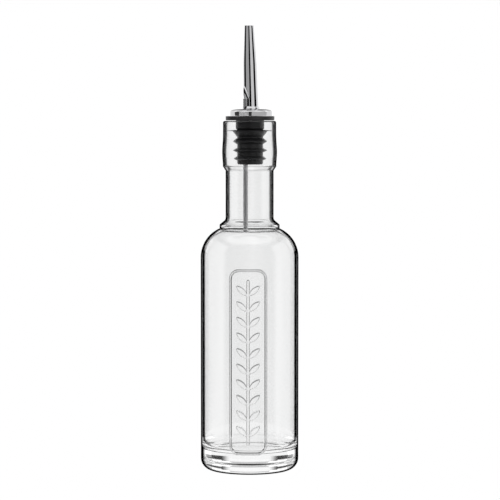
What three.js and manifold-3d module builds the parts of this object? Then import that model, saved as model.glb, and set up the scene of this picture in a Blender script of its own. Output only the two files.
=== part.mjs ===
// A clear glass oil bottle with a push-in pourer: the bottle, a black rubber stopper
// with fins, a polished steel cap, a tapered steel spout and a thin steel air tube.
// Millimetres, +Z up, the origin on the floor under the middle of the bottle.
// The raised panel faces -Y.

import * as THREE from "three";
import { mergeVertices } from "three/addons/utils/BufferGeometryUtils.js";
import Module from "manifold-3d";

const wasm = await Module();
wasm.setup();

// Bottle: outside
const HEIGHT = 200;
const BODY_RADIUS = 28;
const HEEL_RADIUS = 6.5;
const FOOT_WIDTH = 2.5;
const PUSH_UP = 2.4;
const SHOULDER_RADIUS = 18;
const COLLAR_RADIUS = 17.15;
const COLLAR_BOTTOM = 138.6;
const COLLAR_TOP = 141.3;
const COLLAR_EDGE = 0.6;
const NECK_RADIUS = 13.7;
const NECK_FILLET = 2.6;
const NECK_FOOT = 144.9;
const FINISH_BOTTOM = 171.7;
const FINISH_STEP = 2.3;
const FINISH_RADIUS = 15.15;
const FINISH_BULGE = 0.5;
const BULGE_HEIGHT = 182.3;
const BULGE_SPREAD = 5.8;
const LIP_EDGE = 1.0;
const LIP_INNER_EDGE = 0.5;

// Bottle: inside
const WALL = 1.5;
const FLOOR = 12.1;
const FLOOR_CROWN = 0.3;
const FLOOR_CORNER = 5;
const INNER_STEP_BOTTOM = 172.1;
const INNER_STEP_TOP = 174.4;
const INNER_COLLAR_TOP = 139.4;
const INNER_COLLAR_EDGE = 1.2;

// Raised panel on the front: a frame round a plain sprig
const RELIEF = 0.5;
const RELIEF_ROOT = 0.7;
const FRAME_BOTTOM = 12.0;
const FRAME_TOP = 117.0;
const FRAME_HALF_WIDTH = 10.95;
const FRAME_RIB = 1.6;
const FRAME_CORNER = 5.8;
const SPRIG_BOTTOM = 18;
const SPRIG_TOP = 110.5;
const STEM_WIDTH = 1.2;
const LEAF_PAIRS = 10;
const LEAF_LENGTH = 7.6;
const LEAF_WIDTH = 2.6;
const LEAF_SLOPE = THREE.MathUtils.degToRad(42);
const LEAF_GAP = 0.9;

// Stopper: each fin slopes from its root on the plug to its tip, both as [lower, upper] levels
const STOPPER_X = 0.25;
const FLANGE_RADIUS = 13.9;
const FLANGE_BOTTOM = 200.3;
const FLANGE_TOP = 202.7;
const FLANGE_EDGE = 0.3;
const SHANK_RADIUS = 8.1;
const SHANK_BOTTOM = 195.7;
const PLUG_RADIUS = 7.4;
const PLUG_BOTTOM = 175.2;
const PLUG_CHAMFER = 1.0;
const FINS = [
  { root: [177.5, 180.0], tip: [178.2, 178.9], radius: 9.15 },
  { root: [182.1, 184.5], tip: [182.8, 183.6], radius: 9.6 },
  { root: [186.7, 190.2], tip: [187.8, 189.0], radius: 9.6 },
];
const TOP_FIN = { root: [190.9, 195.0], tip: [193.8, 194.75], radius: 9.7 };
const SEAL_RADIUS = 13.1;
const SEAL_TOP = 194.5;
const SEAL_BOTTOM = 194.25;

// Metalwork
const METAL_X = 0.85;
const CAP_RADIUS = 12.2;
const CAP_TOP = 206.6;
const CAP_WALL_TOP = 204.9;
const CAP_PLATEAU = 7.6;
const CAP_EDGE = 0.2;
const SPOUT_TOP = 254.2;
const SPOUT_KNEE = 233;
const SPOUT_TIP_RADIUS = 2.7;
const SPOUT_KNEE_RADIUS = 3.85;
const SPOUT_BASE_RADIUS = 4.3;
const SPOUT_FOOT_RADIUS = 5.0;
const SPOUT_FOOT_EDGE = 0.4;
const SPOUT_FOOT_HEIGHT = 1.6;
const SPOUT_WALL = 0.45;
const SPOUT_LEAN = 1.4;
const SCOOP_RADIUS = 3.9;
const SCOOP_BOTTOM = 208.6;
const SCOOP_LENGTH = 12;
const SCOOP_TILT = THREE.MathUtils.degToRad(24);
const SCOOP_REACH = 4.9;

// Air tube, and the way for the oil past it through the stopper and the cap
const TUBE_X = -2.2;
const TUBE_Y = -1.8;
const TUBE_RADIUS = 1.38;
const TUBE_BORE = 0.95;
const TUBE_BOTTOM = 137.2;
const TUBE_TOP = 212.6;
const PLUG_BORE = 4.8;
const CAP_BORE = 3.75;
const CLEARANCE = 0.3;
const SEAT_GAP = 0.05;
const OVERRUN = 1;

// Facets round each turned piece
const BOTTLE_SIDES = 40;
const STOPPER_SIDES = 32;
const CAP_SIDES = 40;
const SPOUT_SIDES = 28;
const SCOOP_SIDES = 24;
const TUBE_SIDES = 16;

const point = (r, z) => new THREE.Vector2(r, z);

// Points on an arc round (cx, cz), from one angle in degrees to another.
function arc(cx, cz, radius, from, to, steps) {
  const points = [];
  for (let i = 0; i <= steps; i += 1) {
    const angle = THREE.MathUtils.degToRad(from + ((to - from) * i) / steps);
    points.push(point(cx + radius * Math.cos(angle), cz + radius * Math.sin(angle)));
  }
  return points;
}

// A closed manifold solid from any closed three.js geometry.
function solid(geometry) {
  const bare = geometry.index ? geometry.toNonIndexed() : geometry.clone();
  bare.deleteAttribute("normal");
  bare.deleteAttribute("uv");
  const merged = mergeVertices(bare, 1e-4);
  const corners = merged.index.array;
  const kept = [];
  for (let i = 0; i < corners.length; i += 3) {
    const [a, b, c] = [corners[i], corners[i + 1], corners[i + 2]];
    if (a !== b && b !== c && c !== a) kept.push(a, b, c);
  }
  return new wasm.Manifold(new wasm.Mesh({
    numProp: 3,
    vertProperties: new Float32Array(merged.attributes.position.array),
    triVerts: new Uint32Array(kept),
  }));
}

function geometryOf(manifold) {
  const { vertProperties, triVerts } = manifold.getMesh();
  const geometry = new THREE.BufferGeometry();
  geometry.setAttribute("position", new THREE.BufferAttribute(vertProperties, 3));
  geometry.setIndex(new THREE.BufferAttribute(triVerts, 1));
  geometry.computeVertexNormals();
  return geometry;
}

// A turned solid about the Z axis, from an outline that runs anticlockwise in (r, z).
function turned(outline, sides) {
  const lathe = new THREE.LatheGeometry(outline, sides);
  return solid(lathe.rotateX(Math.PI / 2));
}

function rod(x, y, radius, bottom, top, sides) {
  const cylinder = new THREE.CylinderGeometry(radius, radius, top - bottom, sides);
  return solid(cylinder.rotateX(Math.PI / 2).translate(x, y, (bottom + top) / 2));
}

// The hole that the air tube passes through, with its clearance.
function tubeHole(bottom, top) {
  return rod(TUBE_X, TUBE_Y, TUBE_RADIUS + CLEARANCE, bottom, top, TUBE_SIDES);
}

// A flat shape in (sideways, height), thickened and wrapped round the front of the body.
function wrapped(shape) {
  const slab = new THREE.ExtrudeGeometry(shape, {
    depth: RELIEF_ROOT + RELIEF, bevelEnabled: false, curveSegments: 4,
  });
  const position = slab.attributes.position;
  for (let i = 0; i < position.count; i += 1) {
    const angle = position.getX(i) / BODY_RADIUS;
    const radius = BODY_RADIUS - RELIEF_ROOT + position.getZ(i);
    position.setXYZ(i, radius * Math.sin(angle), -radius * Math.cos(angle), position.getY(i));
  }
  return solid(slab);
}

// A rectangle with round corners, its level edges in short steps so that it can be wrapped.
function roundedRectangle(Kind, halfWidth, bottom, top, corner) {
  const steps = 4;
  const outline = new Kind();
  const inner = halfWidth - corner;
  const across = (i) => -inner + (2 * inner * i) / steps;
  outline.moveTo(across(0), bottom);
  for (let i = 1; i <= steps; i += 1) outline.lineTo(across(i), bottom);
  outline.absarc(inner, bottom + corner, corner, -Math.PI / 2, 0, false);
  outline.absarc(inner, top - corner, corner, 0, Math.PI / 2, false);
  for (let i = steps; i >= 0; i -= 1) outline.lineTo(across(i), top);
  outline.absarc(-inner, top - corner, corner, Math.PI / 2, Math.PI, false);
  outline.absarc(-inner, bottom + corner, corner, Math.PI, 1.5 * Math.PI, false);
  return outline;
}

// An almond leaf from its root, at a slope to the level, its two edges parabolas.
function leaf(x, z, slope) {
  const at = (along, across) => new THREE.Vector2(
    x + along * Math.cos(slope) - across * Math.sin(slope),
    z + along * Math.sin(slope) + across * Math.cos(slope));
  const halfWidth = (share) => 2 * LEAF_WIDTH * share * (1 - share);
  const outline = [];
  const steps = 4;
  for (let i = 0; i < steps; i += 1) {
    outline.push(at((LEAF_LENGTH * i) / steps, -halfWidth(i / steps)));
  }
  for (let i = steps; i > 0; i -= 1) {
    outline.push(at((LEAF_LENGTH * i) / steps, halfWidth(i / steps)));
  }
  return wrapped(new THREE.Shape(outline));
}

function stem() {
  const half = STEM_WIDTH / 2;
  return wrapped(new THREE.Shape([
    point(-half, SPRIG_BOTTOM), point(half, SPRIG_BOTTOM),
    point(half, SPRIG_TOP), point(-half, SPRIG_TOP),
  ]));
}

function raisedPanel() {
  const outer = roundedRectangle(
    THREE.Shape, FRAME_HALF_WIDTH, FRAME_BOTTOM, FRAME_TOP, FRAME_CORNER);
  outer.holes.push(roundedRectangle(
    THREE.Path, FRAME_HALF_WIDTH - FRAME_RIB, FRAME_BOTTOM + FRAME_RIB, FRAME_TOP - FRAME_RIB,
    FRAME_CORNER - FRAME_RIB));
  let panel = wrapped(outer).add(stem());
  const pitch = (SPRIG_TOP - SPRIG_BOTTOM) / (LEAF_PAIRS + 0.5);
  for (let i = 0; i < LEAF_PAIRS; i += 1) {
    const root = SPRIG_BOTTOM + pitch * (i + 0.5);
    panel = panel.add(leaf(LEAF_GAP, root, LEAF_SLOPE));
    panel = panel.add(leaf(-LEAF_GAP, root, Math.PI - LEAF_SLOPE));
  }
  return panel;
}

// The shallow dome under the base, from the middle out to the foot.
function pushUp(footInner) {
  const steps = 3;
  const points = [];
  for (let i = 0; i < steps; i += 1) {
    const share = i / steps;
    points.push(point(footInner * share, PUSH_UP * (1 - share * share)));
  }
  return points;
}

// The swollen side of the finish between two levels, moved inward by an inset.
function finishSide(inset, bottom, top) {
  const steps = 6;
  const points = [];
  for (let i = 0; i <= steps; i += 1) {
    const z = bottom + ((top - bottom) * i) / steps;
    const swell = Math.exp(-(((z - BULGE_HEIGHT) / BULGE_SPREAD) ** 2));
    points.push(point(FINISH_RADIUS - inset + FINISH_BULGE * swell, z));
  }
  return points;
}

function bottleOutline() {
  const footOuter = BODY_RADIUS - HEEL_RADIUS;
  const footInner = footOuter - FOOT_WIDTH;
  const shoulderX = BODY_RADIUS - SHOULDER_RADIUS;
  const shoulderTurn = Math.acos((COLLAR_RADIUS - shoulderX) / SHOULDER_RADIUS);
  const shoulderZ = COLLAR_BOTTOM - SHOULDER_RADIUS * Math.sin(shoulderTurn);
  const innerRadius = BODY_RADIUS - WALL;
  const innerArc = SHOULDER_RADIUS - WALL;
  const neckBore = NECK_RADIUS - WALL;
  const innerCollar = COLLAR_RADIUS - WALL;
  const innerTurn = Math.acos((innerCollar - shoulderX) / innerArc);
  const mouth = FINISH_RADIUS - WALL;
  const degrees = THREE.MathUtils.radToDeg;
  return [
    ...pushUp(footInner),
    point(footInner, 0),
    ...arc(footOuter, HEEL_RADIUS, HEEL_RADIUS, -90, 0, 4),
    ...arc(shoulderX, shoulderZ, SHOULDER_RADIUS, 0, degrees(shoulderTurn), 6),
    ...arc(COLLAR_RADIUS - COLLAR_EDGE, COLLAR_TOP - COLLAR_EDGE, COLLAR_EDGE, 0, 60, 1),
    ...arc(NECK_RADIUS + NECK_FILLET, NECK_FOOT, NECK_FILLET, 235, 180, 2),
    point(NECK_RADIUS, FINISH_BOTTOM),
    ...finishSide(0, FINISH_BOTTOM + FINISH_STEP, HEIGHT - LIP_EDGE),
    ...arc(FINISH_RADIUS - LIP_EDGE, HEIGHT - LIP_EDGE, LIP_EDGE, 30, 90, 2),
    ...arc(mouth + LIP_INNER_EDGE, HEIGHT - LIP_INNER_EDGE, LIP_INNER_EDGE, 90, 180, 1),
    ...finishSide(WALL, INNER_STEP_TOP, HEIGHT - LIP_INNER_EDGE).reverse().slice(1),
    point(neckBore, INNER_STEP_BOTTOM),
    ...arc(NECK_RADIUS + NECK_FILLET, NECK_FOOT, NECK_FILLET + WALL, 180, 235, 3),
    ...arc(innerCollar - INNER_COLLAR_EDGE, INNER_COLLAR_TOP, INNER_COLLAR_EDGE, 52, 0, 2),
    ...arc(shoulderX, shoulderZ, innerArc, degrees(innerTurn), 0, 4),
    ...arc(innerRadius - FLOOR_CORNER, FLOOR + FLOOR_CORNER, FLOOR_CORNER, 0, -90, 3),
    point(0, FLOOR + FLOOR_CROWN),
  ];
}

function makeBottle() {
  const glass = turned(bottleOutline(), BOTTLE_SIDES);
  return glass.add(raisedPanel());
}

function fin({ root, tip, radius }) {
  return [
    point(PLUG_RADIUS, root[0]),
    point(radius, tip[0]),
    point(radius, tip[1]),
    point(PLUG_RADIUS, root[1]),
  ];
}

// The top fin carries a thin lip that reaches out to the glass.
function topFin({ root, tip, radius }) {
  return [
    point(PLUG_RADIUS, root[0]),
    point(radius, tip[0]),
    point(radius, SEAL_BOTTOM),
    point(SEAL_RADIUS, SEAL_BOTTOM),
    point(SEAL_RADIUS, SEAL_TOP),
    point(radius, tip[1]),
    point(PLUG_RADIUS, root[1]),
  ];
}

function makeStopper() {
  const outline = [
    point(0, PLUG_BOTTOM),
    point(PLUG_RADIUS - PLUG_CHAMFER, PLUG_BOTTOM),
    point(PLUG_RADIUS, PLUG_BOTTOM + PLUG_CHAMFER),
    ...FINS.flatMap(fin),
    ...topFin(TOP_FIN),
    point(SHANK_RADIUS, SHANK_BOTTOM),
    point(SHANK_RADIUS, FLANGE_BOTTOM),
    point(FLANGE_RADIUS - FLANGE_EDGE, FLANGE_BOTTOM),
    point(FLANGE_RADIUS, FLANGE_BOTTOM + FLANGE_EDGE),
    point(FLANGE_RADIUS, FLANGE_TOP - FLANGE_EDGE),
    point(FLANGE_RADIUS - FLANGE_EDGE, FLANGE_TOP),
    point(0, FLANGE_TOP),
  ];
  const bore = rod(
    0, 0, PLUG_BORE, PLUG_BOTTOM - OVERRUN, FLANGE_TOP + OVERRUN, SCOOP_SIDES);
  return turned(outline, STOPPER_SIDES).subtract(bore).translate(STOPPER_X, 0, 0);
}

function makeCap() {
  const bottom = FLANGE_TOP + SEAT_GAP;
  const shoulder = [];
  const steps = 4;
  for (let i = 0; i <= steps; i += 1) {
    const angle = (Math.PI / 2) * (i / steps);
    shoulder.push(point(CAP_PLATEAU + (CAP_RADIUS - CAP_PLATEAU) * Math.cos(angle),
      CAP_WALL_TOP + (CAP_TOP - CAP_WALL_TOP) * Math.sin(angle)));
  }
  const outline = [
    point(0, bottom),
    point(CAP_RADIUS - CAP_EDGE, bottom),
    point(CAP_RADIUS, bottom + CAP_EDGE),
    ...shoulder,
    point(0, CAP_TOP),
  ];
  const bore = rod(METAL_X, 0, CAP_BORE, bottom - OVERRUN, CAP_TOP + OVERRUN, SCOOP_SIDES);
  return turned(outline, CAP_SIDES).translate(METAL_X, 0, 0)
    .subtract(bore).subtract(tubeHole(bottom - OVERRUN, CAP_TOP + OVERRUN));
}

// The pressed scoop that clears the air tube's open end, grown by an amount on all sides:
// upright beside the tube, and above the tube's end tilted away from the spout.
function scoop(grown) {
  const radius = SCOOP_RADIUS + grown;
  const away = Math.atan2(TUBE_Y, TUBE_X - METAL_X);
  const beside = TUBE_TOP - SCOOP_BOTTOM + grown;
  const upright = new THREE.CylinderGeometry(radius, radius, beside, SCOOP_SIDES)
    .rotateX(Math.PI / 2)
    .translate(0, 0, TUBE_TOP - beside / 2);
  const tilted = new THREE.CylinderGeometry(radius, radius, SCOOP_LENGTH, SCOOP_SIDES)
    .rotateX(Math.PI / 2)
    .translate(0, 0, SCOOP_LENGTH / 2)
    .rotateY(SCOOP_TILT)
    .translate(0, 0, TUBE_TOP);
  const place = (form) => solid(form.translate(SCOOP_REACH, 0, 0).rotateZ(away));
  return place(upright).add(place(tilted)).translate(METAL_X, 0, 0);
}

function makeSpout() {
  const bottom = CAP_TOP + SEAT_GAP;
  const height = SPOUT_TOP - bottom;
  const knee = SPOUT_KNEE - bottom;
  const outside = [
    point(0, 0),
    point(SPOUT_FOOT_RADIUS, 0),
    point(SPOUT_FOOT_RADIUS, SPOUT_FOOT_EDGE),
    point(SPOUT_BASE_RADIUS, SPOUT_FOOT_HEIGHT),
    point(SPOUT_KNEE_RADIUS, knee),
    point(SPOUT_TIP_RADIUS, height),
    point(0, height),
  ];
  const inside = [
    point(0, -OVERRUN),
    point(SPOUT_BASE_RADIUS - SPOUT_WALL, -OVERRUN),
    point(SPOUT_KNEE_RADIUS - SPOUT_WALL, knee),
    point(SPOUT_TIP_RADIUS - SPOUT_WALL, height + OVERRUN),
    point(0, height + OVERRUN),
  ];
  const place = (piece) => piece.rotate([0, -SPOUT_LEAN, 0]).translate(METAL_X, 0, bottom);
  const outer = place(turned(outside, SPOUT_SIDES));
  const inner = place(turned(inside, SPOUT_SIDES));
  const below = rod(METAL_X, 0, 2 * SPOUT_FOOT_RADIUS, bottom - OVERRUN, bottom, SCOOP_SIDES);
  return outer.subtract(scoop(0)).subtract(inner.subtract(scoop(SPOUT_WALL)))
    .subtract(tubeHole(bottom - OVERRUN, TUBE_TOP + OVERRUN)).subtract(below);
}

function makeAirTube() {
  const outline = [
    point(TUBE_BORE, TUBE_BOTTOM),
    point(TUBE_RADIUS, TUBE_BOTTOM),
    point(TUBE_RADIUS, TUBE_TOP),
    point(TUBE_BORE, TUBE_TOP),
    point(TUBE_BORE, TUBE_BOTTOM),
  ];
  return turned(outline, TUBE_SIDES).translate(TUBE_X, TUBE_Y, 0);
}

function piece(name, manifold, color, roughness, metalness) {
  const material = new THREE.MeshStandardMaterial({ color, roughness, metalness });
  const mesh = new THREE.Mesh(geometryOf(manifold), material);
  mesh.name = name;
  return mesh;
}

const pourerBottle = new THREE.Group();
pourerBottle.add(piece("bottle", makeBottle(), 0xeef2f2, 0.03, 0));
pourerBottle.add(piece("stopper", makeStopper(), 0x1d1d1f, 0.55, 0));
pourerBottle.add(piece("cap", makeCap(), 0xc9cacb, 0.12, 1));
pourerBottle.add(piece("spout", makeSpout(), 0xc9cacb, 0.1, 1));
pourerBottle.add(piece("air_tube", makeAirTube(), 0xa9aaac, 0.3, 1));

export default pourerBottle;
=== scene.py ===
import math

import bmesh
import bpy
from mathutils import Matrix, Vector


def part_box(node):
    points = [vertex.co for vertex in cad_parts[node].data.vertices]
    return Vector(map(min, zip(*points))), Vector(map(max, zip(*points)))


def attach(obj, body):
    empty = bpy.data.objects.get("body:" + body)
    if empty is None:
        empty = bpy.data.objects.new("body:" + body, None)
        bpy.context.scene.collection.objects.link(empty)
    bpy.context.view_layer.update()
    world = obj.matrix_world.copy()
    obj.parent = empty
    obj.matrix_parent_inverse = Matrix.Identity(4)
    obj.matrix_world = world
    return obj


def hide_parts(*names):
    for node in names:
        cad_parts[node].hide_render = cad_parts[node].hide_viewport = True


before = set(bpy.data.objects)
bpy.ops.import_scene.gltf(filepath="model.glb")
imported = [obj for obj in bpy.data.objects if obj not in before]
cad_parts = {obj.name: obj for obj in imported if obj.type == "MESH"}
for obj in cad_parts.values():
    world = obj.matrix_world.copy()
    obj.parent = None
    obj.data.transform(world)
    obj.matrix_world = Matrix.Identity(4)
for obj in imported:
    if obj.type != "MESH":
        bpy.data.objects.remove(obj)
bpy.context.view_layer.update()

# The bottle: one piece of clear, colourless soda-lime glass, blown in a mould, with a thick
# floor, a shallow dome under it, a round shoulder, a stepped collar, a long neck and a slightly
# swollen finish at the mouth. All sizes of all pieces are in millimetres.
MM = 0.001
BODY_RADIUS = 28.0
HEEL_RADIUS = 6.5
FOOT_WIDTH = 2.5
PUSH_UP = 2.4
DOME_STEPS = 10
SHOULDER_RADIUS = 18.0
COLLAR_RADIUS = 17.15
COLLAR_BOTTOM = 138.6
COLLAR_TOP = 141.3
COLLAR_EDGE = 0.8
NECK_RADIUS = 13.7
NECK_FILLET = 2.6
NECK_FOOT = 144.9
FINISH_BOTTOM = 171.7
FINISH_STEP = 2.3
FINISH_RADIUS = 15.15
FINISH_BULGE = 0.5
BULGE_HEIGHT = 182.3
BULGE_SPREAD = 5.8
FINISH_STEPS = 16
LIP_EDGE = 1.0
LIP_INNER_EDGE = 0.5
WALL = 1.5
FLOOR_HEIGHT = 12.1
FLOOR_CROWN = 0.3
FLOOR_CORNER = 5.0
INNER_STEP_BOTTOM = 172.1
INNER_STEP_TOP = 174.4
INNER_COLLAR_TOP = 139.4
INNER_COLLAR_EDGE = 1.7
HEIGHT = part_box("bottle")[1].z / MM


def arc(centre_r, centre_z, radius, start, end, steps):
    """Points (r, z) on an arc, from one angle in degrees to another."""
    angles = [math.radians(start + (end - start) * i / steps) for i in range(steps + 1)]
    return [(centre_r + radius * math.cos(a), centre_z + radius * math.sin(a)) for a in angles]


def straight(start, end, steps):
    """Points (r, z) between two points, without the first."""
    return [tuple(s + (e - s) * i / steps for s, e in zip(start, end)) for i in range(1, steps + 1)]


def held(outline, closed, hold=0.12, corner=15.0, long=3.0):
    """The outline with a further point close to each corner and to each end of a long stretch,
    so that smooth shading stays true on the faces between them."""
    def bend(i):
        before, here, after = outline[i - 1], outline[i], outline[(i + 1) % len(outline)]
        turn = math.atan2(after[1] - here[1], after[0] - here[0]) - math.atan2(
            here[1] - before[1], here[0] - before[0])
        return abs(math.degrees(math.remainder(turn, 2 * math.pi)))

    points = []
    for i, start in enumerate(outline):
        points.append(start)
        if i == len(outline) - 1 and not closed:
            break
        end = outline[(i + 1) % len(outline)]
        length = math.dist(start, end)
        if length < 3 * hold:
            continue
        for share, at in ((hold / length, i), (1 - hold / length, (i + 1) % len(outline))):
            if length > long or bend(at) > corner:
                points.append(tuple(s + (e - s) * share for s, e in zip(start, end)))
    return points


def turned(name, outline, angles, centre=(0.0, 0.0)):
    """A mesh object from an outline of (radius, height) in mm that is turned about an upright
    axis. The outline runs anticlockwise. It begins and ends on the axis, or closes on itself."""
    form = bmesh.new()
    outline = held(outline, closed=outline[0][0] > 1e-6)
    rings = []
    for radius, height in outline:
        if radius < 1e-6:
            rings.append([form.verts.new((centre[0] * MM, centre[1] * MM, height * MM))])
        else:
            rings.append([
                form.verts.new((
                    (centre[0] + radius * math.sin(a)) * MM,
                    (centre[1] - radius * math.cos(a)) * MM,
                    height * MM))
                for a in angles])
    open_outline = len(rings[0]) == 1
    pairs = list(zip(rings, rings[1:] if open_outline else rings[1:] + rings[:1]))
    for lower, upper in pairs:
        for i in range(len(angles)):
            j = (i + 1) % len(angles)
            corners = [lower[i % len(lower)], lower[j % len(lower)],
                       upper[j % len(upper)], upper[i % len(upper)]]
            form.faces.new(list(dict.fromkeys(corners))).smooth = True
    mesh = bpy.data.meshes.new(name)
    form.to_mesh(mesh)
    form.free()
    piece = bpy.data.objects.new(name, mesh)
    bpy.context.scene.collection.objects.link(piece)
    return piece


class Wire:
    """A socket in a node tree. An expression on wires and numbers adds its Math nodes."""

    def __init__(self, tree, socket):
        self.tree = tree
        self.socket = socket

    def math(self, operation, *others):
        return self.tree.node("ShaderNodeMath", {"operation": operation}, dict(enumerate([self, *others])))

    def reflected(self, operation, other):
        return self.tree.node("ShaderNodeMath", {"operation": operation}, {0: other, 1: self})

    def __add__(self, other):
        return self.math("ADD", other)

    def __sub__(self, other):
        return self.math("SUBTRACT", other)

    def __mul__(self, other):
        return self.math("MULTIPLY", other)

    def __truediv__(self, other):
        return self.math("DIVIDE", other)

    def __pow__(self, other):
        return self.math("POWER", other)

    def __rsub__(self, other):
        return self.reflected("SUBTRACT", other)

    def __rtruediv__(self, other):
        return self.reflected("DIVIDE", other)

    def __neg__(self):
        return self * -1

    __radd__ = __add__
    __rmul__ = __mul__


class Tree:
    """A node tree, of a material or of Geometry Nodes."""

    def __init__(self, nodes_and_links):
        self.base = nodes_and_links

    def node(self, kind, settings=None, sockets=None, output=0):
        """A new node: its settings first, then the values or wires of its sockets, by name or by
        number. Returns the wire of one of its outputs."""
        made = self.base.nodes.new(kind)
        for key, value in (settings or {}).items():
            if key == "stops":
                ramp = made.color_ramp.elements
                while len(ramp) < len(value):
                    ramp.new(1.0)
                for stop, (place, colour) in zip(ramp, value):
                    stop.position = place
                    stop.color = colour
            else:
                setattr(made, key, value)
        for key, value in (sockets or {}).items():
            if isinstance(value, Wire):
                self.base.links.new(value.socket, made.inputs[key])
            else:
                made.inputs[key].default_value = value
        return Wire(self, made.outputs[output]) if made.outputs else made

    def wire(self, node, output):
        return Wire(self, node.outputs[output])


def material(name, paint, shade_paint=None):
    """A material whose nodes are made by paint(tree, place), with place the Object coordinates.
    paint returns the sockets of the Principled shader. The second paint, if given, returns the share
    and the sockets of a second one, which is mixed in as painted shade."""
    made = bpy.data.materials.new(name)
    made.use_nodes = True
    made.node_tree.nodes.clear()
    tree = Tree(made.node_tree)
    place = tree.node("ShaderNodeTexCoord", output="Object")
    shader = tree.node("ShaderNodeBsdfPrincipled", {}, paint(tree, place))
    if shade_paint:
        share, sockets = shade_paint(tree, place)
        edge = tree.node("ShaderNodeBsdfPrincipled", {}, sockets)
        shader = tree.node("ShaderNodeMixShader", {}, {0: share, 1: shader, 2: edge})
    tree.node("ShaderNodeOutputMaterial", {}, {"Surface": shader})
    return made


def put_on(piece, finish, slot, *nodes):
    """Gives a finished piece its material and its body, and hides the nodes it stands for. The slot is not
    used.
    """
    piece.data.materials.clear()
    piece.data.materials.append(finish)
    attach(piece, "root")
    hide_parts(*nodes)


def finish_side(inset, bottom, top):
    """The swollen side of the finish between two levels, moved inward by an inset."""
    points = []
    for i in range(FINISH_STEPS + 1):
        z = bottom + (top - bottom) * i / FINISH_STEPS
        swell = math.exp(-((z - BULGE_HEIGHT) / BULGE_SPREAD) ** 2)
        points.append((FINISH_RADIUS - inset + FINISH_BULGE * swell, z))
    return points


def bottle_outline():
    foot_outer = BODY_RADIUS - HEEL_RADIUS
    foot_inner = foot_outer - FOOT_WIDTH
    shoulder_r = BODY_RADIUS - SHOULDER_RADIUS
    shoulder_turn = math.acos((COLLAR_RADIUS - shoulder_r) / SHOULDER_RADIUS)
    shoulder_z = COLLAR_BOTTOM - SHOULDER_RADIUS * math.sin(shoulder_turn)
    inner_radius = BODY_RADIUS - WALL
    inner_arc = SHOULDER_RADIUS - WALL
    neck_bore = NECK_RADIUS - WALL
    inner_collar = COLLAR_RADIUS - WALL
    inner_turn = math.acos((inner_collar - shoulder_r) / inner_arc)
    mouth = FINISH_RADIUS - WALL
    dome = [
        (foot_inner * i / DOME_STEPS, PUSH_UP * (1 - (i / DOME_STEPS) ** 2))
        for i in range(DOME_STEPS)]
    finish = finish_side(0.0, FINISH_BOTTOM + FINISH_STEP, HEIGHT - LIP_EDGE)
    inner_finish = finish_side(WALL, INNER_STEP_TOP, HEIGHT - LIP_INNER_EDGE)
    heel = arc(foot_outer, HEEL_RADIUS, HEEL_RADIUS, -90, 0, 12)
    shoulder = arc(shoulder_r, shoulder_z, SHOULDER_RADIUS, 0, math.degrees(shoulder_turn), 18)
    side = straight(heel[-1], shoulder[0], round((shoulder[0][1] - heel[-1][1]) / PANEL_STEP_UP))
    return (
        dome + [(foot_inner, 0.0)] + heel + side[:-1] + shoulder
        + arc(COLLAR_RADIUS - COLLAR_EDGE, COLLAR_TOP - COLLAR_EDGE, COLLAR_EDGE, 0, 60, 4)
        + arc(NECK_RADIUS + NECK_FILLET, NECK_FOOT, NECK_FILLET, 235, 180, 6)
        + [(NECK_RADIUS, FINISH_BOTTOM)] + finish
        + arc(FINISH_RADIUS - LIP_EDGE, HEIGHT - LIP_EDGE, LIP_EDGE, 15, 90, 6)
        + arc(mouth + LIP_INNER_EDGE, HEIGHT - LIP_INNER_EDGE, LIP_INNER_EDGE, 90, 180, 4)
        + inner_finish[-2::-1] + [(neck_bore, INNER_STEP_BOTTOM)]
        + arc(NECK_RADIUS + NECK_FILLET, NECK_FOOT, NECK_FILLET + WALL, 180, 235, 8)
        + arc(inner_collar - INNER_COLLAR_EDGE, INNER_COLLAR_TOP, INNER_COLLAR_EDGE, 52, 0, 5)
        + arc(shoulder_r, shoulder_z, inner_arc, math.degrees(inner_turn), 0, 18)
        + arc(inner_radius - FLOOR_CORNER, FLOOR_HEIGHT + FLOOR_CORNER, FLOOR_CORNER, 0, -90, 10)
        + [(0.0, FLOOR_HEIGHT + FLOOR_CROWN)])


# The panel is finely meshed so that it can carry the relief: the steps across and up it, and how
# far they reach to either side. The rest of the way round has fewer columns.
PANEL_STEP = 0.25
PANEL_STEP_UP = 0.42
PANEL_REACH = 13.0
PLAIN_COLUMNS = 82
panel_turn = PANEL_REACH / BODY_RADIUS
panel_columns = round(2 * PANEL_REACH / PANEL_STEP)
plain_step = (2 * math.pi - 2 * panel_turn) / PLAIN_COLUMNS
bottle_angles = (
    [-panel_turn + 2 * panel_turn * i / panel_columns for i in range(panel_columns)]
    + [panel_turn + plain_step * i for i in range(PLAIN_COLUMNS)])
blank = turned("bottle_blank", bottle_outline(), bottle_angles)

# The painted shade that draws the glass's outline as a dark line: where it is full and where it ends,
# inward from the outline, how much wider the shoulder and the solid base make it, the heights between
# which the base's part fades, and the radii between which the level foot and floor are left clear. The
# last three are slopes: how far the surface's normal rises, or its square for LEVEL_FADE.
OUTLINE_SHADE_FULL = 0.48
OUTLINE_SHADE_END = 1.1
SHOULDER_WIDER = 0.5
BASE_WIDER = 0.55
BASE_FADE = (13.0, 16.0)
CLEAR_FADE = (19.5, 21.5)
LEVEL_FADE = (0.88, 0.97)
UNDERSIDE_FADE = (-0.6, -0.9)
SHOULDER_FADES = ((0.02, 0.3), (0.95, 0.75))


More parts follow.
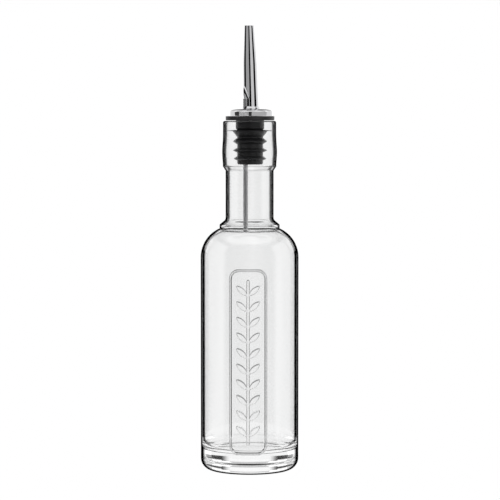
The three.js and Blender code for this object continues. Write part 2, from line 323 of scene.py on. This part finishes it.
def glass_paint(tree, place):
    upright = tree.node("ShaderNodeMapping", {}, {"Vector": place, "Scale": (1.0, 1.0, 0.08)})
    streak = tree.node("ShaderNodeTexNoise", {}, {
        "Vector": upright, "Scale": 130.0, "Detail": 2.0})
    ripple = tree.node(
        "ShaderNodeBump", {}, {"Height": streak, "Strength": 0.02, "Distance": 0.0005})
    body = tree.node("ShaderNodeValToRGB", {"stops": [
        (0.3, (0.955, 0.958, 0.958, 1.0)), (0.7, (0.995, 0.996, 0.996, 1.0))]}, {"Fac": streak})
    # Painted shade: the glass's colour is darkened on the relief's flanks, by the attribute that the
    # raised panel stores.
    flank = tree.node("ShaderNodeAttribute", {"attribute_name": "flank"}, output="Fac")
    return {
        "Base Color": tree.node("ShaderNodeVectorMath", {"operation": "SCALE"}, {
            0: body, "Scale": 1 - flank}),
        "Roughness": 0.0,
        "IOR": 1.5,
        "Transmission Weight": 1.0,
        "Normal": ripple,
    }


def glass_outline_painted_shade(tree, place):
    """Painted shade: a black shader, mixed in where the glass is seen at a glancing angle, in a line of
    even width that draws its outline, wider round the solid base. The level faces of floor and foot are
    left clear."""
    def eased(value, start, end):
        return tree.node("ShaderNodeMapRange", {"interpolation_type": "SMOOTHSTEP"}, {
            "Value": value, "From Min": start, "From Max": end})

    x, y, z = (tree.node("ShaderNodeSeparateXYZ", {}, {"Vector": place}, output=a) for a in "XYZ")
    radius = (x * x + y * y) ** 0.5
    facing = tree.node("ShaderNodeTexCoord", output="Normal")
    rising = tree.node("ShaderNodeSeparateXYZ", {}, {"Vector": facing}, output="Z")
    level = rising * rising
    underside = eased(rising, *UNDERSIDE_FADE) * z.math("LESS_THAN", HEEL_RADIUS * MM)
    bend = radius / (1.05 - level) ** 0.5 * (1 - underside) + HEEL_RADIUS * MM * underside
    solid_base = eased(z, BASE_FADE[1] * MM, BASE_FADE[0] * MM)
    shoulder = eased(rising, *SHOULDER_FADES[0]) * eased(rising, *SHOULDER_FADES[1])
    glancing = tree.node("ShaderNodeLayerWeight", {}, {"Blend": 0.5}, output="Facing")
    inward = bend * (1 - glancing) ** 2 / 2
    inward = inward * (1 - SHOULDER_WIDER * shoulder) * (1 - BASE_WIDER * solid_base)
    clear = eased(level, *LEVEL_FADE) * eased(radius, CLEAR_FADE[1] * MM, CLEAR_FADE[0] * MM)
    return eased(inward, OUTLINE_SHADE_END * MM, OUTLINE_SHADE_FULL * MM) * (1 - clear), {
        "Base Color": (0.0, 0.0, 0.0, 1.0), "Roughness": 0.5, "Specular IOR Level": 0.0}


# The clear glass, with painted shade on its outline and on the relief's flanks.
glass = material("clear_glass", glass_paint, glass_outline_painted_shade)

# The raised panel on the bottle's front: a round-cornered frame with a half-round rib, and
# inside it a plain sprig, a straight stem with pairs of leaves. It is part of the glass, pressed
# out by cuts in the mould, so it is relief on the bottle's own surface, worked out in a flat
# pattern that is wrapped round the body.
FRAME_BOTTOM = 12.0
FRAME_TOP = 117.0
FRAME_HALF_WIDTH = 10.95
FRAME_RIB = 1.6
FRAME_CORNER = 5.8
SPRIG_BOTTOM = 18.0
SPRIG_TOP = 110.5
LEAF_PAIRS = 10
RIB_ROUNDING = 0.75
# How widely the painted shade spreads over the relief's flanks.
FLANK_SHADE_SPREAD = 0.6
leaf_pitch = (SPRIG_TOP - SPRIG_BOTTOM) / (LEAF_PAIRS + 0.5)
relief_inputs = {
    "Relief": 0.5 * MM,
    "Edge": 0.45 * MM,
    "Body radius": BODY_RADIUS * MM,
    "Rib half width": FRAME_RIB / 2 * MM,
    "Frame width": (2 * FRAME_HALF_WIDTH - FRAME_RIB) * MM,
    "Frame height": (FRAME_TOP - FRAME_BOTTOM - FRAME_RIB) * MM,
    "Frame middle": (FRAME_TOP + FRAME_BOTTOM) / 2 * MM,
    "Frame corner": (FRAME_CORNER - FRAME_RIB / 2) * MM,
    "Stem width": 0.9 * MM,
    "Stem length": (SPRIG_TOP - SPRIG_BOTTOM) * MM,
    "Stem middle": (SPRIG_TOP + SPRIG_BOTTOM) / 2 * MM,
    "Leaf pairs": LEAF_PAIRS,
    "First leaf": (SPRIG_BOTTOM + leaf_pitch / 2) * MM,
    "Leaf pitch": leaf_pitch * MM,
    "Leaf length": 7.6 * MM,
    "Leaf width": 2.4 * MM,
    "Leaf gap": 0.9 * MM,
    "Leaf slope": math.radians(42),
}


def geometry_tree(name, inputs):
    """A Geometry Nodes tree with a named input for each size, and the wires of its inputs."""
    base = bpy.data.node_groups.new(name, "GeometryNodeTree")
    face = base.interface
    face.new_socket("Geometry", in_out="INPUT", socket_type="NodeSocketGeometry")
    face.new_socket("Geometry", in_out="OUTPUT", socket_type="NodeSocketGeometry")
    for label, value in inputs.items():
        kind = "NodeSocketInt" if isinstance(value, int) else "NodeSocketFloat"
        face.new_socket(label, in_out="INPUT", socket_type=kind)
    face.new_socket("Material", in_out="INPUT", socket_type="NodeSocketMaterial")
    tree = Tree(base)
    entry = base.nodes.new("NodeGroupInput")
    wires = {socket.name: Wire(tree, socket) for socket in entry.outputs if socket.name}
    return tree, wires


def shaped(piece, tree, inputs, finish, name):
    """A plain mesh object: the piece as its Geometry Nodes tree shapes it."""
    modifier = piece.modifiers.new("shape", "NODES")
    modifier.node_group = tree.base
    values = {**inputs, "Material": finish}
    for item in tree.base.interface.items_tree:
        if item.in_out == "INPUT" and item.name in values:
            modifier[item.identifier] = values[item.name]
    seen = piece.evaluated_get(bpy.context.evaluated_depsgraph_get())
    mesh = bpy.data.meshes.new_from_object(seen)
    mesh.name = name
    bpy.data.objects.remove(piece)
    made = bpy.data.objects.new(name, mesh)
    bpy.context.scene.collection.objects.link(made)
    return made


relief, size = geometry_tree("raised panel", relief_inputs)

position = relief.node("GeometryNodeInputPosition")
leaf_blank = relief.node("GeometryNodeMeshGrid", {}, {
    "Size X": 1.0, "Size Y": 2.0, "Vertices X": 13, "Vertices Y": 2})
along = relief.node("ShaderNodeSeparateXYZ", {}, {"Vector": position}, output="X") + 0.5
side = relief.node("ShaderNodeSeparateXYZ", {}, {"Vector": position}, output="Y")
leaf_point = relief.node("ShaderNodeCombineXYZ", {}, {
    "X": along * size["Leaf length"] + size["Leaf gap"],
    "Y": side * size["Leaf width"] * 2 * along * (1 - along)})
leaf = relief.node("GeometryNodeSetPosition", {}, {"Geometry": leaf_blank, "Position": leaf_point})
leaf_roots = relief.node("GeometryNodeMeshLine", {}, {
    "Count": size["Leaf pairs"],
    "Start Location": relief.node("ShaderNodeCombineXYZ", {}, {"Y": size["First leaf"]}),
    "Offset": relief.node("ShaderNodeCombineXYZ", {}, {"Y": size["Leaf pitch"]})})
leaves = [
    relief.node("GeometryNodeInstanceOnPoints", {}, {
        "Points": leaf_roots, "Instance": leaf,
        "Rotation": relief.node("ShaderNodeCombineXYZ", {}, {"Z": turn})})
    for turn in (size["Leaf slope"], math.pi - size["Leaf slope"])]
stem = relief.node("GeometryNodeTransform", {}, {
    "Geometry": relief.node("GeometryNodeMeshGrid", {}, {
        "Size X": size["Stem width"], "Size Y": size["Stem length"],
        "Vertices X": 2, "Vertices Y": 2}),
    "Translation": relief.node("ShaderNodeCombineXYZ", {}, {"Y": size["Stem middle"]})})
sprig = relief.base.nodes.new("GeometryNodeJoinGeometry")
for part in (*leaves, stem):
    relief.base.links.new(part.socket, sprig.inputs["Geometry"])
sprig = relief.node("GeometryNodeRealizeInstances", {}, {"Geometry": relief.wire(sprig, 0)})
frame_line = relief.node("GeometryNodeTransform", {}, {
    "Geometry": relief.node("GeometryNodeCurveToMesh", {}, {
        "Curve": relief.node("GeometryNodeFilletCurve", {"mode": "POLY"}, {
            "Curve": relief.node("GeometryNodeCurvePrimitiveQuadrilateral", {}, {
                "Width": size["Frame width"], "Height": size["Frame height"]}),
            "Radius": size["Frame corner"], "Count": 16})}),
    "Translation": relief.node("ShaderNodeCombineXYZ", {}, {"Y": size["Frame middle"]})})

x, y, z = (
    relief.node("ShaderNodeSeparateXYZ", {}, {"Vector": position}, output=axis) for axis in "XYZ")
turn = x.math("ARCTAN2", -y)
flat = relief.node("ShaderNodeCombineXYZ", {}, {"X": turn * size["Body radius"], "Y": z})


def how_far(target, elements):
    """The distance in the flat pattern to the nearest face or edge of the target."""
    return relief.node("GeometryNodeProximity", {"target_element": elements}, {
        "Geometry": target, "Sample Position": flat}, output="Distance")


to_sprig = how_far(sprig, "FACES")
to_frame = how_far(frame_line, "EDGES")
leaf_rise = relief.node("ShaderNodeMapRange", {"interpolation_type": "SMOOTHSTEP"}, {
    "Value": to_sprig, "From Min": 0.0, "From Max": size["Edge"], "To Min": 1.0, "To Max": 0.0})
across_rib = (to_frame / size["Rib half width"]).math("MINIMUM", 1.0)
rib_rise = (1 - across_rib ** 2) ** RIB_ROUNDING
outside = ((x * x + y * y) ** 0.5).math("GREATER_THAN", size["Body radius"] - WALL / 2 * MM)
share = leaf_rise.math("MAXIMUM", rib_rise) * outside
rise = share * size["Relief"]
# Painted shade: an attribute, strongest halfway up each flank of the relief, that darkens the glass's
# colour there.
flank_shade_painted = relief.node("GeometryNodeStoreNamedAttribute", {"data_type": "FLOAT", "domain": "POINT"}, {
    "Geometry": size["Geometry"], "Name": "flank",
    "Value": (4 * share * (1 - share)) ** FLANK_SHADE_SPREAD})
pressed = relief.node("GeometryNodeSetPosition", {}, {
    "Geometry": flank_shade_painted,
    "Offset": relief.node("ShaderNodeCombineXYZ", {}, {
        "X": rise * turn.math("SINE"), "Y": -(rise * turn.math("COSINE"))})})
whole = relief.node("GeometryNodeRealizeInstances", {}, {"Geometry": pressed})
whole = relief.node("GeometryNodeSetMaterial", {}, {"Geometry": whole, "Material": size["Material"]})
relief.node("NodeGroupOutput", {}, {"Geometry": whole})

bottle = shaped(blank, relief, relief_inputs, glass, "glass_bottle")
put_on(bottle, glass, "glass", "bottle")

# The stopper: one moulding of black rubber. Its flange lies on the bottle's lip, its plug goes
# down into the finish, and its fins grip the glass. The top fin has a thin lip that seals.
STOPPER_X = 0.25
FLANGE_RADIUS = 13.9
FLANGE_BOTTOM = 200.3
FLANGE_TOP = 202.7
FLANGE_EDGE = 0.35
SHANK_RADIUS = 8.1
SHANK_BOTTOM = 195.7
PLUG_RADIUS = 7.4
PLUG_BOTTOM = 175.2
PLUG_CHAMFER = 1.0
PLUG_BORE = 4.8
FINS = [
    {"root": (177.5, 180.0), "tip": (178.2, 178.9), "radius": 9.15},
    {"root": (182.1, 184.5), "tip": (182.8, 183.6), "radius": 9.6},
    {"root": (186.7, 190.2), "tip": (187.8, 189.0), "radius": 9.6},
]
TOP_FIN = {"root": (190.9, 195.0), "tip": (193.8, 194.75), "radius": 9.7}
SEAL_RADIUS = 13.1
SEAL_BOTTOM = 194.25
SEAL_TOP = 194.5
SEAL_EASE = 0.2
TIP_EASE = 0.15
SHANK_EASE = 0.3
STOPPER_SIDES = 96
CREASE = 40


def even_angles(sides):
    return [2 * math.pi * i / sides for i in range(sides)]


def fin_outline(root, tip, radius):
    """A fin's two slopes, its rounded tip between them."""
    half = (tip[1] - tip[0]) / 2
    return (
        [(PLUG_RADIUS, root[0])]
        + arc(radius - half, tip[0] + half, half, -70, 70, 6)
        + [(PLUG_RADIUS, root[1])])


stopper_outline = (
    [(PLUG_BORE, PLUG_BOTTOM), (PLUG_RADIUS - PLUG_CHAMFER, PLUG_BOTTOM)]
    + arc(PLUG_RADIUS - PLUG_CHAMFER, PLUG_BOTTOM + PLUG_CHAMFER, PLUG_CHAMFER, -70, 0, 5))
for fin in FINS:
    stopper_outline += fin_outline(**fin)
stopper_outline += [
    (PLUG_RADIUS, TOP_FIN["root"][0]),
    (TOP_FIN["radius"] - TIP_EASE, TOP_FIN["tip"][0] - SEAL_EASE),
    (TOP_FIN["radius"], TOP_FIN["tip"][0]),
    (TOP_FIN["radius"] + SEAL_EASE, SEAL_BOTTOM),
    (SEAL_RADIUS, SEAL_BOTTOM),
    (SEAL_RADIUS, SEAL_TOP),
    (TOP_FIN["radius"], TOP_FIN["tip"][1]),
    (PLUG_RADIUS, TOP_FIN["root"][1]),
    (SHANK_RADIUS - SHANK_EASE, SHANK_BOTTOM - SEAL_EASE),
    (SHANK_RADIUS, SHANK_BOTTOM),
    (SHANK_RADIUS, FLANGE_BOTTOM),
]
stopper_outline += arc(
    FLANGE_RADIUS - FLANGE_EDGE, FLANGE_BOTTOM + FLANGE_EDGE, FLANGE_EDGE, -90, 0, 4)
stopper_outline += arc(
    FLANGE_RADIUS - FLANGE_EDGE, FLANGE_TOP - FLANGE_EDGE, FLANGE_EDGE, 0, 90, 4)
stopper_outline += [(PLUG_BORE, FLANGE_TOP)]
stopper = turned("rubber_stopper", stopper_outline, even_angles(STOPPER_SIDES), (STOPPER_X, 0.0))


def sharpen(piece, degrees):
    """Marks the edges that bend more than an angle as sharp."""
    form = bmesh.new()
    form.from_mesh(piece.data)
    for edge in form.edges:
        edge.smooth = edge.calc_face_angle(0.0) < math.radians(degrees)
    form.to_mesh(piece.data)
    form.free()


def rubber_paint(tree, place):
    grain = tree.node("ShaderNodeTexNoise", {}, {"Vector": place, "Scale": 2600.0, "Detail": 3.0})
    cloud = tree.node("ShaderNodeTexNoise", {}, {"Vector": place, "Scale": 160.0, "Detail": 3.0})
    colour = tree.node("ShaderNodeValToRGB", {"stops": [
        (0.3, (0.012, 0.012, 0.013, 1.0)), (0.7, (0.024, 0.024, 0.025, 1.0))]}, {"Fac": cloud})
    skin = tree.node(
        "ShaderNodeBump", {}, {"Height": grain, "Strength": 0.25, "Distance": 0.0001})
    return {
        "Base Color": colour,
        "Roughness": 0.42 + 0.12 * cloud,
        "Specular IOR Level": 0.35,
        "Normal": skin,
    }


sharpen(stopper, CREASE)
put_on(stopper, material("black_rubber", rubber_paint), "rubber", "stopper")

# The cap: a disc of polished stainless steel with a rounded shoulder, pressed on the flange.
METAL_X = 0.85
CAP_RADIUS = 12.2
CAP_TOP = 206.6
CAP_WALL_TOP = 204.9
CAP_PLATEAU = 7.6
CAP_BORE = 3.75
CAP_EDGE = 0.2
SEAT_GAP = 0.05
CAP_SIDES = 128

cap_bottom = FLANGE_TOP + SEAT_GAP
cap_shoulder = [
    (CAP_PLATEAU + (CAP_RADIUS - CAP_PLATEAU) * math.cos(math.radians(a)),
     CAP_WALL_TOP + (CAP_TOP - CAP_WALL_TOP) * math.sin(math.radians(a)))
    for a in range(0, 91, 6)]
cap_outline = (
    [(CAP_BORE, cap_bottom)]
    + arc(CAP_RADIUS - CAP_EDGE, cap_bottom + CAP_EDGE, CAP_EDGE, -90, 0, 3)
    + cap_shoulder + [(CAP_BORE, CAP_TOP)])
cap = turned("steel_cap", cap_outline, even_angles(CAP_SIDES), (METAL_X, 0.0))


def polished_paint(tree, place):
    smear = tree.node("ShaderNodeTexNoise", {}, {"Vector": place, "Scale": 90.0, "Detail": 4.0})
    stretched = tree.node("ShaderNodeMapping", {}, {"Vector": place, "Scale": (1.0, 1.0, 0.06)})
    lines = tree.node("ShaderNodeTexNoise", {}, {
        "Vector": stretched, "Scale": 1500.0, "Detail": 2.0})
    scratch = tree.node(
        "ShaderNodeBump", {}, {"Height": lines, "Strength": 0.05, "Distance": 0.0001})
    colour = tree.node("ShaderNodeValToRGB", {"stops": [
        (0.3, (0.60, 0.60, 0.61, 1.0)), (0.7, (0.66, 0.66, 0.67, 1.0))]}, {"Fac": smear})
    return {
        "Base Color": colour,
        "Metallic": 1.0,
        "Roughness": 0.02 + 0.03 * smear,
        "Normal": scratch,
    }


polished = material("polished_steel", polished_paint)
sharpen(cap, CREASE)
put_on(cap, polished, "polished_steel", "cap")

# The spout: a drawn tube of polished stainless steel, tapered to its tip above a slight knee,
# with a small foot on the cap. A scoop is pressed into its lower front left, where the air tube
# ends. It leans a little to the left.
SPOUT_TOP = 254.2
SPOUT_KNEE = 233.0
SPOUT_TIP_RADIUS = 2.7
SPOUT_KNEE_RADIUS = 3.85
SPOUT_BASE_RADIUS = 4.3
SPOUT_FOOT_RADIUS = 5.0
SPOUT_FOOT_EDGE = 0.4
SPOUT_FOOT_HEIGHT = 1.6
SPOUT_WALL = 0.45
SPOUT_LEAN = math.radians(1.4)
SCOOP_RADIUS = 3.9
SCOOP_BOTTOM = 208.6
SCOOP_TILT = math.radians(24)
SCOOP_REACH = 4.9
TUBE_X = -2.2
TUBE_Y = -1.8
TUBE_TOP = 212.6
SPOUT_ROWS = 60
TIP_ROWS = 12
SPOUT_SIDES = 120

spout_bottom = CAP_TOP + SEAT_GAP
foot_top = spout_bottom + SPOUT_FOOT_HEIGHT
rim = SPOUT_WALL / 2
spout_outline = (
    [(SPOUT_BASE_RADIUS - SPOUT_WALL, spout_bottom), (SPOUT_FOOT_RADIUS, spout_bottom)]
    + [(SPOUT_FOOT_RADIUS, spout_bottom + SPOUT_FOOT_EDGE)]
    + [(SPOUT_BASE_RADIUS, foot_top)]
    + straight((SPOUT_BASE_RADIUS, foot_top), (SPOUT_KNEE_RADIUS, SPOUT_KNEE), SPOUT_ROWS)
    + straight((SPOUT_KNEE_RADIUS, SPOUT_KNEE), (SPOUT_TIP_RADIUS, SPOUT_TOP - rim), TIP_ROWS)
    + arc(SPOUT_TIP_RADIUS - rim, SPOUT_TOP - rim, rim, 30, 150, 4)
    + straight((SPOUT_TIP_RADIUS - SPOUT_WALL, SPOUT_TOP - rim),
               (SPOUT_KNEE_RADIUS - SPOUT_WALL, SPOUT_KNEE), TIP_ROWS)
    + straight((SPOUT_KNEE_RADIUS - SPOUT_WALL, SPOUT_KNEE),
               (SPOUT_BASE_RADIUS - SPOUT_WALL, foot_top), SPOUT_ROWS))
spout = turned("steel_spout", spout_outline, even_angles(SPOUT_SIDES))


def pressed_radius(radius, angle, height, wall):
    """How far from the spout's axis a point of it lies once the scoop is pressed in. The scoop
    is a round channel beside the air tube, and above the tube's end it tilts away."""
    if height < SCOOP_BOTTOM - wall:
        return radius
    reach = SCOOP_REACH + max(0.0, height - TUBE_TOP) * math.tan(SCOOP_TILT)
    channel = SCOOP_RADIUS + wall
    sideways = reach * math.sin(angle)
    if math.cos(angle) <= 0 or abs(sideways) >= channel:
        return radius
    return min(radius, reach * math.cos(angle) - math.sqrt(channel ** 2 - sideways ** 2))


scoop_angle = math.atan2(TUBE_Y, TUBE_X - METAL_X)
for vertex in spout.data.vertices:
    px, py, pz = (c / MM for c in vertex.co)
    radius = math.hypot(px, py)
    angle = math.atan2(py, px)
    taper = SPOUT_BASE_RADIUS - (SPOUT_BASE_RADIUS - SPOUT_KNEE_RADIUS) * (
        pz - foot_top) / (SPOUT_KNEE - foot_top)
    wall = SPOUT_WALL if radius < taper - SPOUT_WALL / 2 else 0.0
    radius = pressed_radius(radius, angle - scoop_angle, pz, wall)
    lean = (pz - spout_bottom) * math.tan(SPOUT_LEAN)
    vertex.co = Vector((
        (METAL_X - lean + radius * math.cos(angle)) * MM, radius * math.sin(angle) * MM, pz * MM))

sharpen(spout, 45)
put_on(spout, polished, "polished_steel", "spout")

# The air tube: a thin drawn tube of stainless steel, from the bottle's shoulder up through the
# stopper and the cap to the scoop, where its open end lets the air in.
TUBE_RADIUS = 1.38
TUBE_BORE = 0.95
TUBE_BOTTOM = 137.2
TUBE_SIDES = 48

tube_outline = [
    (TUBE_BORE, TUBE_BOTTOM), (TUBE_RADIUS, TUBE_BOTTOM), (TUBE_RADIUS, TUBE_TOP),
    (TUBE_BORE, TUBE_TOP)]
tube = turned("air_tube_drawn", tube_outline, even_angles(TUBE_SIDES), (TUBE_X, TUBE_Y))


def drawn_paint(tree, place):
    stretched = tree.node("ShaderNodeMapping", {}, {"Vector": place, "Scale": (1.0, 1.0, 0.03)})
    lines = tree.node("ShaderNodeTexNoise", {}, {
        "Vector": stretched, "Scale": 2500.0, "Detail": 3.0})
    colour = tree.node("ShaderNodeValToRGB", {"stops": [
        (0.3, (0.33, 0.33, 0.335, 1.0)), (0.7, (0.43, 0.43, 0.435, 1.0))]}, {"Fac": lines})
    drawn = tree.node(
        "ShaderNodeBump", {}, {"Height": lines, "Strength": 0.15, "Distance": 0.0001})
    return {
        "Base Color": colour,
        "Metallic": 1.0,
        "Roughness": 0.34 + 0.12 * lines,
        "Normal": drawn,
    }


sharpen(tube, CREASE)
put_on(tube, material("drawn_steel", drawn_paint), "tube_steel", "air_tube")

# The camera, level with the bottle's mouth and a little to the right of the panel, looking
# slightly down. The picture is square.
CAMERA_DISTANCE = 1.260
CAMERA_HEIGHT = 0.2002
CAMERA_TURN = math.radians(1.8)
AIM_HEIGHT = 0.1262
AIM_RIGHT = 0.00023
LENS = 158.7

camera_data = bpy.data.cameras.new("camera")
camera_data.sensor_width = 36.0
camera_data.lens = LENS
camera = bpy.data.objects.new("camera", camera_data)
bpy.context.scene.collection.objects.link(camera)
right = Vector((math.cos(CAMERA_TURN), math.sin(CAMERA_TURN), 0.0))
aim = Vector((0.0, 0.0, AIM_HEIGHT)) + right * AIM_RIGHT
camera.location = Vector((
    CAMERA_DISTANCE * math.sin(CAMERA_TURN), -CAMERA_DISTANCE * math.cos(CAMERA_TURN),
    CAMERA_HEIGHT)) + right * AIM_RIGHT
camera.rotation_mode = "QUATERNION"
camera.rotation_quaternion = (aim - camera.location).to_track_quat("-Z", "Y")
bpy.context.scene.camera = camera
bpy.context.view_layer.update()

# The studio: a white card behind the bottle that shows through the glass and fades out at its
# sides, so that darkness beside it draws the glass's edges, dimmer panels above and below it,
# and soft boxes for the base, the rubber and the metal. All stand on one frame with the camera.
CARD_DISTANCE = 2.0
CARD_FULL = CARD_DISTANCE * math.tan(math.radians(15))
CARD_HALF_WIDTH = CARD_DISTANCE * math.tan(math.radians(25))
CARD_HALF_HEIGHT = CARD_DISTANCE * math.tan(math.radians(13))
camera_to_object = (aim - camera.location).length


def carried(prop, azimuth, elevation, distance):
    """Puts a prop round the object, facing it. Azimuth 0 is the camera's side, 90 its right."""
    a, e = math.radians(azimuth), math.radians(elevation)
    out = Vector((math.sin(a) * math.cos(e), math.sin(e), math.cos(a) * math.cos(e)))
    across = Vector((math.cos(a), 0, -math.sin(a)))
    bpy.context.scene.collection.objects.link(prop)
    prop.parent = camera
    prop.matrix_parent_inverse = Matrix.Identity(4)
    prop.location = Vector((0, 0, -camera_to_object)) + out * distance
    prop.rotation_mode = "QUATERNION"
    prop.rotation_quaternion = Matrix((across, out.cross(across), out)).transposed().to_quaternion()


def soft_box(name, azimuths, elevations, distance, radiance, lit):
    """An area light that spans a range of azimuths and of elevations, seen from the object. It
    lights some pieces only, and only they cast shadows in it."""
    azimuth, elevation = sum(azimuths) / 2, sum(elevations) / 2
    width, height = (
        2 * distance * math.tan(math.radians(abs(span[1] - span[0]) / 2))
        for span in (azimuths, elevations))
    light = bpy.data.lights.new(name, "AREA")
    light.shape = "RECTANGLE"
    light.size = width
    light.size_y = height
    light.energy = radiance * math.pi * width * height
    box = bpy.data.objects.new(name, light)
    carried(box, azimuth, elevation, distance)
    box.visible_camera = False
    group = bpy.data.collections.new(name + "_lit")
    for piece in lit:
        group.objects.link(piece)
    box.light_linking.receiver_collection = group
    box.light_linking.blocker_collection = group


card_mesh = bpy.data.meshes.new("card")
card_mesh.from_pydata(
    [(x * CARD_HALF_WIDTH, y * CARD_HALF_HEIGHT, 0) for x, y in ((-1, -1), (1, -1), (1, 1), (-1, 1))],
    [], [(0, 1, 2, 3)])
card = bpy.data.objects.new("card", card_mesh)
carried(card, 180, 0, CARD_DISTANCE)
fittings = [spout, stopper, tube]
# Each box's name, its span of azimuths and of elevations in degrees, its distance in metres, how
# bright it is, and the pieces that it lights.
BOXES = [
    ("glass_left", (-130, -65), (-40, 40), 0.8, 0.6, [bottle]),
    ("glass_right", (65, 130), (-40, 40), 0.8, 0.6, [bottle]),
    ("glass_above", (140, 220), (13, 50), 2.0, 0.6, [bottle]),
    ("glass_below", (140, 220), (-50, -13), 2.0, 0.5, [bottle]),
    ("base_left", (-162, -126), (8, 30), 3.0, 0.65, [bottle]),
    ("base_right", (126, 162), (8, 30), 3.0, 0.65, [bottle]),
    ("heel_left", (-153, -135), (-62, -54), 0.14, 0.3, [bottle]),
    ("heel_right", (135, 153), (-62, -54), 0.14, 0.3, [bottle]),
    ("spout_front_left", (-75, -18), (-60, 50), 0.8, 0.5, fittings),
    ("spout_front_right", (8, 56), (-60, 50), 0.8, 0.85, fittings),
    ("spout_back_left", (-172, -118), (-60, 50), 0.8, 1.0, fittings),
    ("spout_back_right", (92, 172), (-60, 50), 0.8, 1.05, fittings),
    ("cap_front_left", (-68, -13), (-60, 50), 0.8, 0.5, [cap]),
    ("cap_front_right", (3, 91), (-60, 50), 0.8, 0.6, [cap]),
    ("cap_back_left", (-172, -98), (-60, 50), 0.8, 1.0, [cap]),
    ("cap_back_right", (91, 172), (-60, 50), 0.8, 1.0, [cap]),
    ("cap_fill", (-98, 3), (-60, 50), 0.8, 0.06, [cap]),
    ("glass_top", (-40, 40), (52, 128), 0.8, 0.5, [bottle]),
    ("metal_above", (-40, 40), (52, 128), 0.8, 1.1, [cap, *fittings]),
    ("metal_below", (-40, 40), (-125, -62), 0.8, 0.8, [cap, *fittings]),
]
for name, azimuths, elevations, distance, radiance, lit in BOXES:
    soft_box(name, azimuths, elevations, distance, radiance, lit)


def glowing(name, paint):
    """Paper that gives off light. paint(tree) is its colour."""
    made = bpy.data.materials.new(name)
    made.use_nodes = True
    made.node_tree.nodes.clear()
    tree = Tree(made.node_tree)
    glow = tree.node("ShaderNodeEmission", {}, {"Color": paint(tree)})
    tree.node("ShaderNodeOutputMaterial", {}, {"Surface": glow})
    return made


def card_paint(tree):
    """White in the card's middle, and fading to black at its two sides."""
    place = tree.node("ShaderNodeTexCoord", output="Object")
    sideways = tree.node("ShaderNodeSeparateXYZ", {}, {"Vector": place}, output="X").math("ABSOLUTE")
    return tree.node("ShaderNodeMapRange", {"interpolation_type": "SMOOTHSTEP"}, {
        "Value": sideways, "From Min": CARD_FULL, "From Max": CARD_HALF_WIDTH,
        "To Min": 1.0, "To Max": 0.0})


paper = glowing("white_paper", lambda tree: (1.0, 1.0, 1.0, 1.0))
card_mesh.materials.append(glowing("card_paper", card_paint))

# The floor round the bottle shows through its base, and the floor further out doesn't show
# through the glass, so that the glass's edges stay dark.
NEAR_FLOOR = 0.09
FAR_FLOOR = 3.0
FLOOR_SIDES = 64
ROOM_LIGHT = 0.01
GLASS_BOUNCES = 24


def floor_piece(name, inner, outer):
    """A level disc on the ground, or a ring if it has an inner radius."""
    form = bmesh.new()
    rings = [
        [form.verts.new((radius * math.cos(a), radius * math.sin(a), 0)) for a in even_angles(FLOOR_SIDES)]
        for radius in (inner, outer) if radius]
    if inner:
        for i in range(FLOOR_SIDES):
            j = (i + 1) % FLOOR_SIDES
            form.faces.new((rings[0][i], rings[1][i], rings[1][j], rings[0][j]))
    else:
        form.faces.new(rings[0])
    mesh = bpy.data.meshes.new(name)
    form.to_mesh(mesh)
    form.free()
    mesh.materials.append(paper)
    piece = bpy.data.objects.new(name, mesh)
    bpy.context.scene.collection.objects.link(piece)
    return piece


floor_piece("near_floor", 0, NEAR_FLOOR)
far_floor = floor_piece("far_floor", NEAR_FLOOR, FAR_FLOOR)
far_floor.visible_transmission = False
far_floor.visible_glossy = False

world = bpy.data.worlds.new("studio")
world.use_nodes = True
world.node_tree.nodes["Background"].inputs["Strength"].default_value = ROOM_LIGHT
bpy.context.scene.world = world
bpy.context.scene.view_settings.view_transform = "Standard"
cycles = bpy.context.scene.cycles
cycles.use_denoising = True
cycles.denoising_input_passes = "RGB"
cycles.max_bounces = GLASS_BOUNCES
cycles.transmission_bounces = GLASS_BOUNCES
cycles.glossy_bounces = 12
